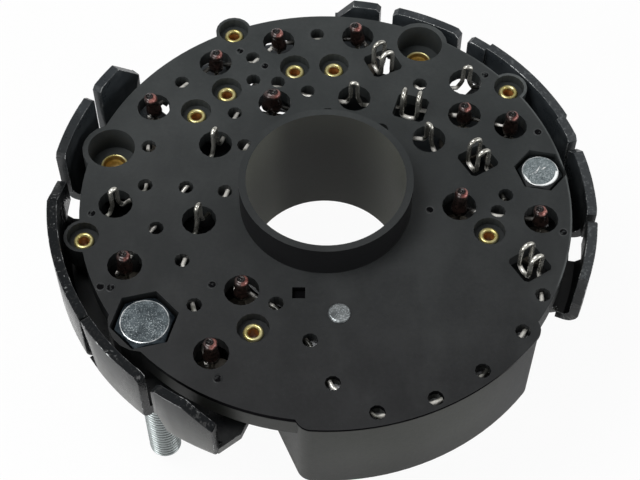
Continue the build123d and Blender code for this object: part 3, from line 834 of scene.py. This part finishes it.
def pastLead(before, place, after, onFarSide):
    one = (flat(before) - flat(place)).normalized()
    two = (flat(after) - flat(place)).normalized()
    away = one - two
    share = away.length / 2
    side = Vector((-away.y, away.x, 0.0)) / (2 * share)
    if (side.dot(one + two) < 0) != onFarSide:
        side = -side
    return flat(place) + side * (wire["leadRadius"] + wire["radius"] / share + wire["clearance"])


# An upright loop from one foot to the other; its legs may flare out below and lean
def arch(first, second, flare=0.0, lean=Vector((0, 0, 0))):
    centre = (first + second) / 2
    half = (second - first) / 2
    way = half.normalized()
    springing = wire["loopTop"] - half.length
    flaredPart = 0.38
    firstLeg = []
    secondLeg = []
    for share in (0.0, 0.12, 0.25, flaredPart, 0.5, 0.75, 0.95):
        height = wire["level"] + (springing - wire["level"]) * share
        spread = flare * max(0.0, 1 - share / flaredPart) ** 1.3
        firstLeg.append(first - way * spread + lean * share + upwards * height)
        secondLeg.append(second + way * spread + lean * share + upwards * height)
    bow = []
    for step in range(9):
        angle = math.pi * step / 8
        bow.append(centre + lean - half * math.cos(angle) + upwards * (springing + half.length * math.sin(angle)))
    return firstLeg + bow + secondLeg[::-1]


def bottomBend(first, second):
    half = (second - first) / 2
    centre = (first + second) / 2
    drop = min(half.length, wire["bendDrop"])
    points = []
    for step in range(1, 8):
        angle = math.pi * step / 8
        points.append(centre - half * math.cos(angle) + upwards * (wire["level"] + drop * (1 - math.sin(angle))))
    return points


def hairpin(before, place, after):
    way = (flat(after) - flat(before)).normalized() * wire["pinHalf"]
    most = wire["pinLean"]
    lean = Vector((random.uniform(-most, most), random.uniform(-most, most), 0))
    return arch(flat(place) - way, flat(place) + way, wire["pinFlare"], lean)


def doubleLoop(before, place, turn):
    angle = math.radians(turn)
    along = Vector((math.cos(angle), math.sin(angle), 0))
    across = Vector((-along.y, along.x, 0)) * wire["twinWidth"]
    side = -1 if (flat(before) - flat(place)).dot(along) < 0 else 1
    first = flat(place) + along * wire["twinLength"] * side
    second = flat(place) - along * wire["twinLength"] * side
    out = arch(first + across, first - across)
    back = arch(second - across, second + across)
    return out[:-2] + bottomBend(first - across, second - across) + back[2:]


def placeOf(kind, value):
    if kind == "tip":
        return diodes[value]
    if kind == "twin":
        return wire["twinWells"][value][0]
    return value


def routePoints(route):
    places = [placeOf(kind, value) for kind, value in route]
    points = []
    for number, (kind, value) in enumerate(route):
        place = places[number]
        before = places[max(0, number - 1)]
        after = places[min(len(places) - 1, number + 1)]
        if kind == "run":
            points.append(flat(place) + upwards * wire["level"])
        elif kind == "tip":
            onFarSide = value in wire["farSide"]
            points.append(pastLead(before, place, after, onFarSide) + upwards * wire["level"])
        elif kind == "pin":
            points += hairpin(before, place, after)
        else:
            points += doubleLoop(before, place, wire["twinWells"][value][1])
    return points


def formedWire(name, route, node, look):
    curve = bpy.data.curves.new(name, "CURVE")
    curve.dimensions = "3D"
    curve.bevel_depth = wire["radius"] * mm
    curve.bevel_resolution = 5
    curve.use_fill_caps = True
    points = routePoints(route)
    spline = curve.splines.new("POLY")
    spline.points.add(len(points) - 1)
    for point, place in zip(spline.points, points):
        point.co = (place.x * mm, place.y * mm, place.z * mm, 1.0)
    spline.use_smooth = True
    pieceFrom(name, curve, [look], node)


wireLook = wireMaterial()
for position, route in routes.items():
    formedWire(position + "Wire", route, position + "_conductor", wireLook)
print("formed wires made")


# White surroundings: what lights the piece is greyer than what the camera sees
studio = {"horizon": 0.85, "zenith": 0.38, "seen": 1.0, "paperHeight": -79.0, "paperGlow": 0.93}
lamps = {
    "overhead": {"place": (-0.35, -0.05, 0.80), "target": (0, 0, 0), "size": 0.5, "power": 4.5},
    "frontFill": {"place": (-0.7, -0.7, 0.25), "target": (0, 0, -0.02), "size": 0.6, "power": 4.0},
    "rightFill": {"place": (0.8, -0.3, 0.35), "target": (0, 0, 0), "size": 0.5, "power": 2.0},
}
white = rgb(1.0, 1.0, 1.0)


def surroundings():
    world = bpy.data.worlds.new("studio")
    bpy.context.scene.world = world
    world.use_nodes = True
    w = NodeTree(world.node_tree, "World Output")

    def glow(strength):
        return w.node("ShaderNodeBackground", {}, {"Color": white, "Strength": strength})

    direction = w.node("ShaderNodeTexCoord", {}, [], "Generated")
    rise = w.split(direction)[2].ramp(0.15, 0.75)
    fromCamera = w.node("ShaderNodeLightPath", {}, [], "Is Camera Ray")
    sky = w.blend(rise, glow(studio["horizon"]), glow(studio["zenith"]))
    w.show(w.blend(fromCamera, sky, glow(studio["seen"])))


def lamp(name, settings):
    data = bpy.data.lights.new(name, "AREA")
    data.shape = "DISK"
    data.size = settings["size"]
    data.energy = settings["power"]
    made = bpy.data.objects.new(name, data)
    bpy.context.scene.collection.objects.link(made)
    made.location = settings["place"]
    aim = Vector(settings["target"]) - Vector(settings["place"])
    made.rotation_euler = aim.to_track_quat("-Z", "Y").to_euler()


def floorSheet():
    bm = bmesh.new()
    bmesh.ops.create_grid(bm, x_segments=2, y_segments=2, size=3.0)
    sheet = bpy.data.objects.new("floorSheet", meshFrom("floorSheet", bm))
    sheet.location = (0, 0, studio["paperHeight"] * mm)
    bpy.context.scene.collection.objects.link(sheet)
    m = Material("floorPaper", {"Roughness": 0.9})
    m.set({"Base Color": m.mix(m.noise(3.0, 2.0), rgb(0.80, 0.80, 0.80), rgb(0.82, 0.82, 0.82))})
    glow = m.node("ShaderNodeEmission", {}, {"Color": white, "Strength": 1.0})
    fromCamera = m.node("ShaderNodeLightPath", {}, [], "Is Camera Ray")
    m.show(m.blend(fromCamera * studio["paperGlow"], m.shader, glow))
    sheet.data.materials.append(m.data)


surroundings()
for name, settings in lamps.items():
    lamp(name, settings)
floorSheet()
print("surroundings and lamps made")

# The photograph's camera; distance and target in mm, roll in radians
photoView = {
    "elevation": 56.33, "roll": 0.008, "target": (-1.50, -13.16, 0.0), "distance": 421.06,
    "sensor": 36.0, "lens": 86.39,
}


def photoCamera(view):
    elevation = math.radians(view["elevation"])
    forward = Vector((0.0, math.cos(elevation), -math.sin(elevation)))
    right = Vector((1.0, 0.0, 0.0))
    up = right.cross(forward)
    rolledRight = right * math.cos(view["roll"]) + up * math.sin(view["roll"])
    rolledUp = up * math.cos(view["roll"]) - right * math.sin(view["roll"])
    data = bpy.data.cameras.new("photoCamera")
    data.sensor_width = view["sensor"]
    data.lens = view["lens"]
    data.clip_start = 0.01
    camera = bpy.data.objects.new("photoCamera", data)
    bpy.context.scene.collection.objects.link(camera)
    turn = Matrix((rolledRight, rolledUp, -forward)).transposed().to_4x4()
    place = Vector(view["target"]) * mm - forward * view["distance"] * mm
    camera.matrix_world = Matrix.Translation(place) @ turn
    bpy.context.scene.camera = camera


photoCamera(photoView)
scene = bpy.context.scene
scene.view_settings.view_transform = "Standard"
print("camera set")
